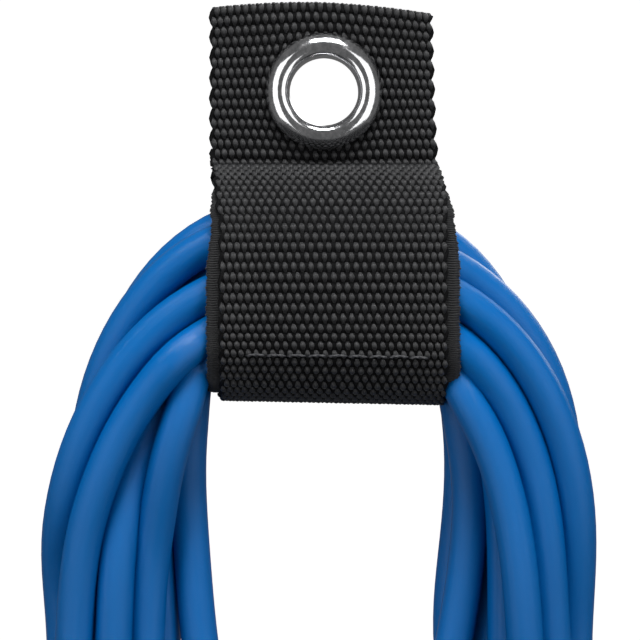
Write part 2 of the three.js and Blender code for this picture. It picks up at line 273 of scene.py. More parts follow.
# Injection-moulded soft PVC: fine spark-eroded grain.
MOULDED = Finish(
    "moulded_black_pvc", "#0B0C0E", "#1B1D20", (0.45, 0.6), (2.4, 2.4, 2.4), 0.05, detail=6.0,
)
INSERT = Finish(
    "moulded_grey_nylon", "#24272B", "#34383D", (0.4, 0.55), (1.8, 1.8, 1.8), 0.04,
)
BRASS = Finish(
    "stamped_brass", "#B9954A", "#DCC07A", (0.18, 0.34), (0.6, 0.6, 7.0), 0.02, metallic=1.0,
)
LINE_SHEATH = Finish(
    "extruded_black_pvc", "#0A0A0A", "#181818", (0.4, 0.5), (0.5, 0.5, 3.0), 0.02,
)
NEUTRAL_SHEATH = Finish(
    "extruded_white_pvc", "#D8D8D4", "#ECECE8", (0.4, 0.5), (0.5, 0.5, 3.0), 0.02,
)
GROUND_SHEATH = Finish(
    "extruded_green_pvc", "#17702F", "#218C3E", (0.4, 0.5), (0.5, 0.5, 3.0), 0.02,
)


# ---- mesh helpers ----


def smooth_line(points: list[tuple[float, ...]], per_span: int = 12) -> np.ndarray:
    """Runs a Catmull-Rom curve through points.

    Args:
        points: Two or more points of any dimension.
        per_span: Samples in each span.

    Returns:
        The samples, one row each, the last point included.
    """
    p = np.asarray(points, float)
    p = np.vstack([p[0], p, p[-1]])
    t = np.arange(per_span)[:, None] / per_span
    spans = []
    for a, b, c, d in zip(p[:-3], p[1:-2], p[2:-1], p[3:]):
        v0, v1 = (c - a) / 2, (d - b) / 2
        spans.append(
            (2 * b - 2 * c + v0 + v1) * t**3 + (3 * c - 3 * b - 2 * v0 - v1) * t**2 + v0 * t + b
        )
    return np.vstack([*spans, p[-1:]])


def lengths_along(points: np.ndarray) -> np.ndarray:
    """Gives each point's distance along the line from its first point."""
    steps = np.linalg.norm(np.diff(points, axis=0), axis=1)
    return np.concatenate([[0.0], np.cumsum(steps)])


def even_line(points: np.ndarray, spacing: float) -> np.ndarray:
    """Resamples a line at even spacing.

    Args:
        points: The line's points, one row each.
        spacing: Wanted distance between samples.

    Returns:
        The new points, with both ends kept.
    """
    along = lengths_along(points)
    count = max(2, round(along[-1] / spacing) + 1)
    at = np.linspace(0, along[-1], count)
    return np.column_stack([np.interp(at, along, points[:, k]) for k in range(points.shape[1])])


def rounding(line: np.ndarray) -> np.ndarray:
    """Gives the step that rounds a line's sharp bends and leaves its wide ones.

    Args:
        line: Evenly spaced points, one row each.

    Returns:
        A shift for each point; the two at each end stay.
    """
    shift = np.zeros_like(line)
    shift[2:-2] = (
        4 * (line[1:-3] + line[3:-1]) - (line[:-4] + line[4:]) - 6 * line[2:-2]
    ) / 16
    return shift


def swept(name: str, strands: list[np.ndarray], sides: int) -> bpy.types.Mesh:
    """Sweeps a round section along each strand, with closed ends.

    Args:
        name: Name for the mesh.
        strands: Arrays of x, y, z and radius, one row for each ring.
        sides: Sides of the section, 4, 6, 8 and so on.

    Returns:
        The mesh, in the strands' own units, with a UV map round and along each strand.
    """
    curve = bpy.data.curves.new(name, "CURVE")
    curve.dimensions = "3D"
    curve.bevel_depth = 1.0
    curve.bevel_resolution = (sides - 4) // 2
    curve.use_fill_caps = True
    for strand in strands:
        spline = curve.splines.new("POLY")
        spline.points.add(len(strand) - 1)
        places = np.ones((len(strand), 4))
        places[:, :3] = strand[:, :3]
        spline.points.foreach_set("co", places.ravel())
        spline.points.foreach_set("radius", strand[:, 3].copy())
        spline.use_smooth = True
    holder = bpy.data.objects.new(name, curve)
    bpy.context.scene.collection.objects.link(holder)
    graph = bpy.context.evaluated_depsgraph_get()
    mesh = bpy.data.meshes.new_from_object(holder.evaluated_get(graph))
    bpy.data.objects.remove(holder)
    bpy.data.curves.remove(curve)
    mesh.name = name
    return mesh


def mesh_of(bm: bmesh.types.BMesh, name: str, smooth: bool = False) -> bpy.types.Mesh:
    """Turns a bmesh into a named mesh and frees it.

    Args:
        bm: The bmesh.
        name: Name for the mesh.
        smooth: Whether every face is shaded smooth.

    Returns:
        The mesh.
    """
    for face in bm.faces if smooth else ():
        face.smooth = True
    mesh = bpy.data.meshes.new(name)
    bm.to_mesh(mesh)
    bm.free()
    return mesh


def moved(mesh: bpy.types.Mesh, change: Any) -> bpy.types.Mesh:
    """Moves a mesh's vertices by a function of their coordinates.

    Args:
        mesh: The mesh.
        change: Takes and returns an array with a row of x, y, z for each vertex.

    Returns:
        The same mesh.
    """
    places = np.empty(len(mesh.vertices) * 3)
    mesh.vertices.foreach_get("co", places)
    mesh.vertices.foreach_set("co", change(places.reshape(-1, 3)).ravel())
    mesh.update()
    return mesh


def piece(
    name: str, mesh: bpy.types.Mesh, finish: Finish, body: str | None = ROOT
) -> bpy.types.Object:
    """Makes a finished piece from a mesh in the row frame.

    Args:
        name: The piece's name.
        mesh: Its mesh, in metres.
        finish: Its finish, unless the mesh already has materials.
        body: The CAD body it rides on, or None where it is blended.

    Returns:
        The new object.
    """
    made = bpy.data.objects.new(name, mesh)
    bpy.context.scene.collection.objects.link(made)
    if not mesh.materials:
        mesh.materials.append(finish.build())
    if body:
        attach(made, body)
    LOG.info("%s: %d faces", name, len(mesh.polygons))
    return made


def joined(name: str, parts: list[tuple[bpy.types.Mesh, Finish]]) -> bpy.types.Mesh:
    """Puts several meshes into one, each with its own finish.

    Args:
        name: Name for the mesh.
        parts: The meshes and their finishes.

    Returns:
        The joined mesh.
    """
    bm = bmesh.new()
    for index, (part, _finish) in enumerate(parts):
        before = len(bm.faces)
        bm.from_mesh(part)
        bm.faces.ensure_lookup_table()
        for face in bm.faces[before:]:
            face.material_index = index
        bpy.data.meshes.remove(part)
    mesh = mesh_of(bm, name)
    for _part, finish in parts:
        mesh.materials.append(finish.build())
    return mesh


def spun(name: str, profile: list[tuple[float, float]], steps: int, axis: str) -> bpy.types.Mesh:
    """Spins a closed profile a full turn.

    Args:
        name: Name for the mesh.
        profile: Radius and height points of the closed outline, in millimetres.
        steps: Steps in the turn.
        axis: "Y" or "Z", the axis of the turn and of the heights.

    Returns:
        The mesh, about the origin, in metres.
    """
    bm = bmesh.new()
    along_y = axis == "Y"
    ring = [
        bm.verts.new((r * MM, h * MM, 0) if along_y else (r * MM, 0, h * MM)) for r, h in profile
    ]
    edges = [bm.edges.new((a, b)) for a, b in zip(ring, ring[1:] + ring[:1])]
    bmesh.ops.spin(
        bm,
        geom=ring + edges,
        axis=(0, 1, 0) if along_y else (0, 0, 1),
        cent=(0, 0, 0),
        steps=steps,
        angle=math.tau,
        use_merge=True,
    )
    bmesh.ops.remove_doubles(bm, verts=bm.verts, dist=1e-7)
    bmesh.ops.recalc_face_normals(bm, faces=bm.faces)
    return mesh_of(bm, name, smooth=True)


def rounded_block(
    bm: bmesh.types.BMesh, size: tuple[float, float, float], at: tuple[float, float, float],
    corner: float,
) -> None:
    """Adds a block with rounded edges.

    Args:
        bm: The mesh to add to.
        size: Its three sizes, in millimetres.
        at: Its middle, in millimetres.
        corner: Edge radius, in millimetres.
    """
    place = Matrix.Translation(Vector(at) * MM) @ Matrix.Diagonal((*(s * MM for s in size), 1))
    cube = bmesh.ops.create_cube(bm, size=1, matrix=place)
    edges = list({edge for vert in cube["verts"] for edge in vert.link_edges})
    made = bmesh.ops.bevel(
        bm, geom=edges, offset=corner * MM, offset_type="OFFSET", segments=3, profile=0.5,
        affect="EDGES", material=-1,
    )
    for face in made["faces"]:
        face.smooth = True


# ---- studio ----


@dataclass
class Studio:
    """White cove, soft lights and the camera, in metres."""

    eye: tuple[float, float, float] = (-0.0009, -0.9, -0.0523)
    lens: float = 221.0
    floor_drop: float = 0.03
    cove_radius: float = 4.5
    cove_round: float = 0.8
    cove_height: float = 3.0
    world: float = 0.13

    def add_camera(self) -> None:
        """Makes the level camera that looks straight at the strap."""
        data = bpy.data.cameras.new("camera")
        data.lens = self.lens
        data.clip_start = 0.01
        camera = bpy.data.objects.new("camera", data)
        camera.location = self.eye
        camera.rotation_euler = (math.pi / 2, 0, 0)
        bpy.context.scene.collection.objects.link(camera)
        bpy.context.scene.camera = camera

    def add_cove(self) -> None:
        """Makes the round floor that curves up into a backdrop on every side."""
        floor = CAD_BOX[0][2] - self.floor_drop
        flat = self.cove_radius - self.cove_round
        bm = bmesh.new()
        profile = [(0.0, floor), (flat, floor)]
        profile += [
            (flat + self.cove_round * math.sin(a), floor + self.cove_round * (1 - math.cos(a)))
            for a in np.linspace(0.2, math.pi / 2, 8)
        ]
        profile.append((self.cove_radius, floor + self.cove_height))
        verts = [bm.verts.new((r, 0, z)) for r, z in profile]
        edges = [bm.edges.new(pair) for pair in zip(verts, verts[1:])]
        bmesh.ops.spin(
            bm, geom=verts + edges, axis=(0, 0, 1), cent=(0, 0, 0), steps=64, angle=math.tau,
            use_merge=True,
        )
        bmesh.ops.remove_doubles(bm, verts=bm.verts, dist=1e-6)
        mesh = mesh_of(bm, "cove", smooth=True)
        paper = bpy.data.materials.new("white_backdrop_paper")
        paper.use_nodes = True
        shader = paper.node_tree.nodes["Principled BSDF"]
        shader.inputs["Base Color"].default_value = srgb("#FAFAFA")
        shader.inputs["Roughness"].default_value = 0.9
        shader.inputs["Emission Color"].default_value = srgb("#FFFFFF")
        shader.inputs["Emission Strength"].default_value = 0.9
        mesh.materials.append(paper)
        cove = bpy.data.objects.new("cove", mesh)
        bpy.context.scene.collection.objects.link(cove)
        # The paper glows for the camera alone, so it does not fill the shade of the weave.
        cove.visible_diffuse = False
        cove.visible_glossy = False

    def add_light(
        self, name: str, at: tuple[float, float, float], size: tuple[float, float], power: float
    ) -> None:
        """Makes a soft rectangular light that faces the strap.

        Args:
            name: The light's name.
            at: Its place.
            size: Its width and height.
            power: Its power in watts.
        """
        data = bpy.data.lights.new(name, "AREA")
        data.shape = "RECTANGLE"
        data.size, data.size_y = size
        data.energy = power
        light = bpy.data.objects.new(name, data)
        light.location = at
        aim = Vector((0, 0, -0.06)) - Vector(at)
        light.rotation_euler = aim.to_track_quat("-Z", "Y").to_euler()
        bpy.context.scene.collection.objects.link(light)

    def build(self) -> None:
        """Makes the camera, the cove, the lights and the sky."""
        bpy.context.scene.view_settings.view_transform = "Standard"
        self.add_camera()
        self.add_cove()
        self.add_light("top_softbox", (0.05, -0.38, 0.82), (0.45, 0.35), 9.6)
        self.add_light("back_softbox", (0.5, 1.3, 0.7), (1.0, 1.0), 7.0)
        self.add_light("left_softbox", (-0.5, -0.5, 0.02), (0.5, 0.8), 2.0)
        self.add_light("right_softbox", (0.45, -0.5, 0.02), (0.55, 0.8), 2.0)
        sky = bpy.data.worlds.new("studio")
        sky.use_nodes = True
        background = sky.node_tree.nodes["Background"]
        background.inputs["Color"].default_value = srgb("#FFFFFF")
        background.inputs["Strength"].default_value = self.world
        bpy.context.scene.world = sky


# ---- coiled cord ----


TAIL_Y = -11.4
# The fan is where the strands spread, from the strap's edges down to its floor.
FAN_CENTRE = 10.0
FAN_EDGE_LEFT = -24.0
FAN_EDGE_RIGHT = 26.0
FAN_FLOOR = -124.5
FAN_POINTS = 7


@dataclass(frozen=True)
class Fall:
    """How a pass comes down one side of the coil, in millimetres.

    depth is its y half way down the fan, and leaves is the height at the strap's edge. widest
    is the (x, z) of its widest point, and fan_x is its x at the fan's floor. low is the (x, y)
    there that the depth and the tails run to. straight is the distance from the middle, and
    the y, in the straight part.
    """

    depth: float
    leaves: float
    widest: tuple[float, float]
    fan_x: float
    low: tuple[float, float]
    straight: tuple[float, float]

    @property
    def line(self) -> list[tuple[float, float]]:
        """Gives evenly spaced (x, z) points from the strap's edge to the fan's end.

        The strand follows part of an ellipse out to its widest point, then drifts to where
        the fan ends.
        """
        side = math.copysign(1.0, self.widest[0])
        centre = side * FAN_CENTRE
        reach = abs(self.widest[0] - centre)
        edge = FAN_EDGE_RIGHT if side > 0 else FAN_EDGE_LEFT
        first = math.asin((edge - centre) * side / reach)
        rise = (self.leaves - self.widest[1]) / math.cos(first)
        turn = np.linspace(first, math.pi / 2, 24)
        arc = np.column_stack(
            (centre + side * reach * np.sin(turn), self.widest[1] + rise * np.cos(turn))
        )
        step = np.linspace(0, 1, 9)[1:]
        drift = np.column_stack(
            (
                self.widest[0] + (self.fan_x - self.widest[0]) * step**2,
                self.widest[1] + (FAN_FLOOR - self.widest[1]) * step,
            )
        )
        dense = np.vstack((arc, drift))
        along = lengths_along(dense)
        return [
            (float(np.interp(at, along, dense[:, 0])), float(np.interp(at, along, dense[:, 1])))
            for at in np.linspace(0, along[-1], FAN_POINTS)
        ]


@dataclass(frozen=True)
class Wrap:
    """One pass through the strap: its (y, z) at the middle of the strap, and its two falls."""

    slot: tuple[float, float]
    left: Fall
    right: Fall


OUTER = ((58.5, -18.5), (58.5, -10.2), (57.0, -2.2))
MIDDLE = ((50.0, -18.8), (50.0, -10.4), (48.6, -2.3))
INNER = ((41.5, -18.0), (41.4, -9.7), (40.2, -1.4))

# The ten passes, in the order that the cord takes them.
WRAPS = (
    Wrap((-2, -52.5),
         Fall(-8, -58, (-32, -74), -28, (-28.5, -11), INNER[2]),
         Fall(-2, -58, (32, -82), 28, (28.3, -0.6), INNER[2])),
    Wrap((-9.5, -42),
         Fall(0, -47, (-39, -95), -38, (-38, 1.5), INNER[2]),
         Fall(-1, -48, (40, -83), 37, (36.5, -2.5), INNER[1])),
    Wrap((-10.5, -50.5),
         Fall(-7, -55, (-39, -89), -36, (-36, -6.5), INNER[1]),
         Fall(-10, -57, (41, -100), 41, (41.4, -11), INNER[0])),
    Wrap((-18.5, -56),
         Fall(-15, -60, (-40, -114), -40, (-40.5, -14), INNER[0]),
         Fall(-19, -61, (45, -120), 45, (45.5, -20.5), MIDDLE[0])),
    Wrap((-13.5, -31),
         Fall(-13, -33, (-54, -87), -51, (-52, -11), MIDDLE[1]),
         Fall(-12, -38, (55, -85), 48, (49, -7.5), MIDDLE[1])),
    Wrap((-5, -34.5),
         Fall(-9, -42, (-49, -94), -45, (-43.5, -4.5), MIDDLE[2]),
         Fall(4.5, -40, (47, -98), 45, (45, 1.5), MIDDLE[2])),
    Wrap((-6, -26),
         Fall(-5, -30, (-52, -85), -52, (-52, -3), OUTER[2]),
         Fall(-5, -32, (53, -105), 53, (53.5, 0), OUTER[2])),
    Wrap((-18, -38.5),
         Fall(-14, -45, (-59, -105), -58, (-59, -9), OUTER[1]),
         Fall(-16, -44, (57, -99), 56, (57, -8.5), OUTER[1])),
    Wrap((-18.5, -47),
         Fall(-18, -55, (-56, -118), -56, (-57, -19), OUTER[0]),
         Fall(-18, -54, (51, -107), 51, (51.5, -15), OUTER[0])),
    Wrap((-10, -59),
         Fall(-17, -58, (-47, -115), -47, (-47.5, -19), MIDDLE[0]),
         Fall(-10, -65, (34, -90), 29, (29.2, -9), INNER[0])),
)


@dataclass
class CoiledCord:
    """The jacketed cord from plug to connector, wound through the strap ten times."""

    strap: "StrapLine"
    radius: float = 4.2
    spacing: float = 4.0
    straight_top: float = -195.0
    plug_x: float = -14.7
    plug_end: float = -224.7
    plug_relief_top: float = -184.7
    connector_x: float = 13.7
    connector_end: float = -222.7
    connector_relief_top: float = -179.7
    guide_rounds: int = 220
    rounds: int = 90
    last_rounds: int = 12
    search_every: int = 6
    search_room: float = 2.5
    round_gain: float = 0.9
    push_gain: float = 1.5
    even_gain: float = 0.12
    shown_above: float = -128.0
    tail_half: float = 20.0
    tail_span: tuple[float, float] = (-230.0, -172.0)
    shown_hold: tuple[float, float, float] = (0.32, 0.03, 0.32)
    hidden_hold: tuple[float, float, float] = (0.16, 0.05, 0.16)
    shown_freedom: tuple[float, float, float] = (0.45, 1.0, 0.45)
    path: list[list[float]] = field(default_factory=list)

    @property
    def apart(self) -> float:
        """Gives the distance between two turns that lie beside each other."""
        return 2 * self.radius + 0.05

    def fall_points(self, fall: Fall, slot: tuple[float, float]) -> list[tuple[float, ...]]:
        """Gives a fall's points from the strap down to where its fan ends.

        Args:
            fall: The fall.
            slot: The pass's (y, z) under the strap.

        Returns:
            Points in millimetres.
        """
        count = len(fall.line) - 1
        depths = smooth_line(
            [((slot[0] + fall.depth) / 2,), (fall.depth,), (fall.low[1],)], count
        )[:, 0]
        return [
            (x, float(np.interp(i / count, np.linspace(0, 1, len(depths)), depths)), z)
            for i, (x, z) in enumerate(fall.line)
        ]

    def bottom_points(self, start: Fall, end: Fall, floor: float) -> list[tuple[float, ...]]:
        """Gives the points from the right straight part round the bottom to the left one.

        Args:
            start: The fall on the right that the cord comes down.
            end: The fall on the left that the cord goes up.
            floor: The coil's lowest height.

        Returns:
            Points in millimetres.
        """
        centre = floor + OUTER[0][0] + self.radius
        (r0, y0), (r1, y1) = start.straight, end.straight
        points = [(r0, y0, self.straight_top), (r0, y0, (self.straight_top + centre) / 2)]
        turns = 12
        for i in range(turns + 1):
            share = i / turns
            ease = share * share * (3 - 2 * share)
            r, y = r0 + (r1 - r0) * ease, y0 + (y1 - y0) * ease
            angle = math.pi * share
            points.append((r * math.cos(angle), y, centre - r * math.sin(angle)))
        points.append((-r1, y1, (self.straight_top + centre) / 2))
        points.append((-r1, y1, self.straight_top))
        return points

    def tail_points(self, x: float, top: float, end: float, low: float) -> list[tuple[float, ...]]:
        """Gives a tail's points from the coil down into its strain relief.

        Args:
            x: The relief's x.
            top: Height of the relief's top.
            end: Height of the cord's end.
            low: x where the fan ends.

        Returns:
            Points in millimetres.
        """
        shares = ((0.90, -137.0), (0.62, -151.0), (0.24, -164.0), (0.04, -174.0))
        points = [(x + (low - x) * share, TAIL_Y, z) for share, z in shares]
        points += [(x, TAIL_Y, z) for z in (top, (top + end) / 2, end)]
        return points

    def guide(self, floor: float) -> np.ndarray:
        """Joins all passes into one guide line from the plug to the connector.

        Args:
            floor: The coil's lowest height.

        Returns:
            The line's points, with its sharp bends rounded.
        """
        points: list[tuple[float, ...]] = []
        plug_tail = self.tail_points(
            self.plug_x, self.plug_relief_top, self.plug_end, WRAPS[0].left.low[0]
        )
        points += plug_tail[::-1]
        for index, wrap in enumerate(WRAPS):
            points += self.fall_points(wrap.left, wrap.slot)[::-1]
            points.append((0.0, *wrap.slot))
            points += self.fall_points(wrap.right, wrap.slot)
            if index < len(WRAPS) - 1:
                points += self.bottom_points(wrap.right, WRAPS[index + 1].left, floor)
        points += self.tail_points(
            self.connector_x, self.connector_relief_top, self.connector_end,
            WRAPS[-1].right.low[0],
        )
        line = even_line(smooth_line(points, 14), self.spacing)
        for _step in range(self.guide_rounds):
            line += self.round_gain * rounding(line)
        return line

    def near_pairs(self, line: np.ndarray) -> np.ndarray:
        """Lists the pairs of points that are close together but far apart along the cord.

        Args:
            line: The centreline.

        Returns:
            A row with the two points' numbers for each pair.
        """
        tree = kdtree.KDTree(len(line))
        for i, point in enumerate(line):
            tree.insert(point, i)
        tree.balance()
        skip = round(6 * self.radius / self.spacing)
        return np.array([
            (i, j)
            for i, point in enumerate(line)
            for _co, j, _d in tree.find_range(point, self.apart + self.search_room)
            if j > i + skip
        ])

    def pushes(self, line: np.ndarray, pairs: np.ndarray) -> np.ndarray:
        """Gives each point's mean push away from the turns that it overlaps.

        Args:
            line: The centreline.
            pairs: The close pairs.

        Returns:
            A shift for each point.
        """
        a, b = pairs.T
        tangent = np.gradient(line, axis=0)
        tangent /= np.linalg.norm(tangent, axis=1)[:, None]
        alike = (tangent[a] * tangent[b]).sum(1)
        gap = line[a] - line[b]
        mean = tangent[a] + tangent[b] * np.sign(alike)[:, None]
        mean /= np.linalg.norm(mean, axis=1)[:, None]
        # Turns that run side by side are pushed square to themselves.
        beside = gap - (gap * mean).sum(1)[:, None] * mean
        gap = np.where((np.abs(alike) > 0.92)[:, None], beside, gap)
        size = np.maximum(np.linalg.norm(gap, axis=1), 0.3)
        lack = np.maximum(self.apart - size, 0)[:, None]
        push = gap / size[:, None] * lack * 0.5
        total, count = np.zeros_like(line), np.zeros(len(line))
        near = lack[:, 0] > 0
        np.add.at(total, a[near], push[near])
        np.add.at(total, b[near], -push[near])
        np.add.at(count, a[near], 1)
        np.add.at(count, b[near], 1)
        return total / np.maximum(count, 1)[:, None]

    def settle(self, guide: np.ndarray) -> np.ndarray:
        """Pushes the turns apart towards lying beside each other, and keeps them smooth.

        Args:
            guide: The guide line.

        Returns:
            The settled centreline.
        """
        line = guide.copy()
        aside, height = np.abs(guide[:, 0]), guide[:, 2]
        shown = ((height > self.shown_above) & (aside > self.tail_half))[:, None]
        low, high = self.tail_span
        tails = ((aside < self.tail_half) & (height > low) & (height < high))[:, None]
        hold = np.where(shown, self.shown_hold, self.hidden_hold)
        hold = np.where(tails, 1.0, hold)
        freedom = np.where(shown, self.shown_freedom, 1.0)
        loose = hold < 1
        for step in range(self.rounds):
            if step % self.search_every == 0:
                pairs = self.near_pairs(line)
            line += self.pushes(line, pairs) * self.push_gain * freedom * loose
            for _pass in range(3):
                line += self.round_gain * rounding(line) * loose
            even = np.zeros_like(line)
            even[3:-3] = (line[:-6] + line[6:]) / 2 - line[3:-3]
            line += even * self.even_gain * loose
            last = step > self.rounds - self.last_rounds
            line += (guide - line) * hold * (0.4 if last else 1.0)
            self.keep_inside(line)
        return line

    def keep_inside(self, line: np.ndarray) -> None:
        """Moves the cord inwards wherever it would touch the strap's front leg or its lining.

        Args:
            line: The centreline, which is changed.
        """
        strap = self.strap
        part = (strap.along > strap.crease_at + 4) & (strap.along < strap.hinge_at + 3)
        wall, out = strap.points[part], strap.outward[part]
        room = np.where(strap.along[part] > strap.pile_at, 2.7, 2.3) + self.radius
        room += 2.2 * np.clip((-60 - wall[:, 1]) / 10, 0, 1)
        for i in np.nonzero((np.abs(line[:, 0]) < 31) & (line[:, 2] > -75))[0]:
            offset = line[i, 1:] - wall
            nearest = int(np.argmin((offset**2).sum(1)))
            depth = -float(offset[nearest] @ out[nearest])
            if depth < room[nearest]:
                ease = min(1.0, (31 - abs(line[i, 0])) / 3)
                line[i, 1:] -= out[nearest] * (room[nearest] - depth) * ease

    def build(self) -> bpy.types.Object:
        """Makes the cord's tube and returns it."""
        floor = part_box("cord_coil")[0][2] / MM
        line = even_line(smooth_line(self.settle(self.guide(floor)).tolist(), 3), 3.6)
        strand = np.column_stack([line * MM, np.full(len(line), self.radius * MM)])
        mesh = swept("coiled_cord", [strand], 16)
        self.path = (line * MM).tolist()
        cord = piece("coiled_cord", mesh, JACKET)
        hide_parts("cord_coil", "plug_lead", "connector_lead")
        LOG.info("cord length %.3f m", lengths_along(line)[-1] * MM)
        return cord


# ---- webbing ----


@dataclass
class StrapLine:
    """The webbing's centreline in the (y, z) plane, from the tongue's end to the flap's end.

    Distances along it, the shift to either side and the shift through it place every yarn.
    """

    fold: float = 1.1
    fold_z: float = 17.4
    tongue_end: float = -46.0
    crease: float = -15.2
    bottom: float = -72.6
    flap_y: float = 5.8
    flap_bend: float = 3.8
    flap_top: float = -19.5
    drift_from: float = 14.0
    leg: tuple[tuple[float, float], ...] = (
        (-1.6, -17.2), (-6, -18.3), (-13.2, -21.3), (-20, -27.3), (-23.8, -35), (-25.4, -43.5),
        (-25.6, -53), (-25, -62), (-21.4, -69), (-14, -72.2), (-6, -72.6),
    )

    def __post_init__(self) -> None:
        """Lays the line out and finds where its parts begin."""
        arc = [
            (self.fold * math.cos(a), self.fold_z + self.fold * math.sin(a))
            for a in np.linspace(0, math.pi, 13)
        ]
        tab = [(self.fold, self.tongue_end), *arc, (-self.fold, self.crease)]
        leg = smooth_line([(-self.fold, self.crease), *self.leg], 10).tolist()
        centre = (self.flap_y - self.flap_bend, self.bottom + self.flap_bend)
        bend = [
            (centre[0] + self.flap_bend * math.sin(a), centre[1] - self.flap_bend * math.cos(a))
            for a in np.linspace(0, math.pi / 2, 10)
        ]
        self.hinge_at = self.length_of([*tab, *leg[1:], (1.65, self.bottom)])
        self.crease_at = self.length_of(tab)
        self.pile_at = self.crease_at + 15
        whole = np.array([*tab, *leg[1:], *bend, (self.flap_y, self.flap_top)])
        self.points = even_line(whole, 0.25)
        self.along = lengths_along(self.points)
        self.end_at = float(self.along[-1])
        heading = np.gradient(self.points, axis=0)
        heading /= np.linalg.norm(heading, axis=1)[:, None]
        kernel = np.ones(5) / 5
        padded = np.pad(heading, ((2, 2), (0, 0)), mode="edge")
        heading = np.column_stack([np.convolve(padded[:, k], kernel, "valid") for k in (0, 1)])
        heading /= np.linalg.norm(heading, axis=1)[:, None]
        self.outward = np.column_stack([heading[:, 1], -heading[:, 0]])

    @staticmethod
    def length_of(points: list[tuple[float, float]]) -> float:
        """Gives a line's length."""
        return float(lengths_along(np.array(points))[-1])

    def at(self, along: np.ndarray) -> tuple[np.ndarray, np.ndarray, np.ndarray, np.ndarray]:
        """Gives y, z and the outward direction's y, z at distances along the line."""
        return (
            np.interp(along, self.along, self.points[:, 0]),
            np.interp(along, self.along, self.points[:, 1]),
            np.interp(along, self.along, self.outward[:, 0]),
            np.interp(along, self.along, self.outward[:, 1]),
        )

    def place(self, flat: np.ndarray) -> np.ndarray:
        """Lays flat points on the strap.

        Args:
            flat: Rows of distance along, shift across and shift outwards, in millimetres.

        Returns:
            Rows of x, y, z in metres.
        """
        along, across, out = flat.T
        y, z, out_y, out_z = self.at(along)
        crease = self.crease_at
        tab = along < crease + 2
        # The eyelet pushes the yarns away from its barrel.
        reach = np.hypot(across, z)
        pushed = np.where(tab, 0.9 * np.exp(-((reach - 9) ** 2) / 40), 0.0) * (reach > 1)
        z = z + pushed * z / np.maximum(reach, 1)
        across = across + pushed * across / np.maximum(reach, 1)
        # The folded top is arched, and the strap drifts sideways as it goes down.
        rise = np.where(
            across < -5, 1.5 - 1.2 * ((across + 5) / 20) ** 2, 1.5 - 2.6 * ((across + 5) / 30) ** 2
        )
        high = np.clip((z + 8) / 26, 0, 1) ** 2 * tab
        drift = np.interp(
            along,
            (self.drift_from, crease - 34, crease, crease + 30, crease + 60, self.hinge_at,
             self.end_at),
            (0.0, -0.9, 0.2, 2.0, 2.3, 1.2, 0.0),
        )
        widen = 1 + 0.02 * np.clip((along - crease + 25) / 25, 0, 1)
        widen = np.where(along > crease + 25, 1.0, widen)
        wander = 0.22 * np.sin(along / 9.0 + 0.6) * np.clip(np.abs(across) / 25, 0, 1)
        x = across * widen + drift + wander
        # The underside hangs a little high, more so towards the left.
        under = np.clip((-54 - z) / 14, 0, 1)
        under *= np.clip((self.end_at - 12 - along) / 34, 0, 1) * (along > crease)
        lifted = z + rise * high + under * (2.4 - 0.02 * across)
        return np.column_stack([x, y + out_y * out, lifted + out_z * out]) * MM


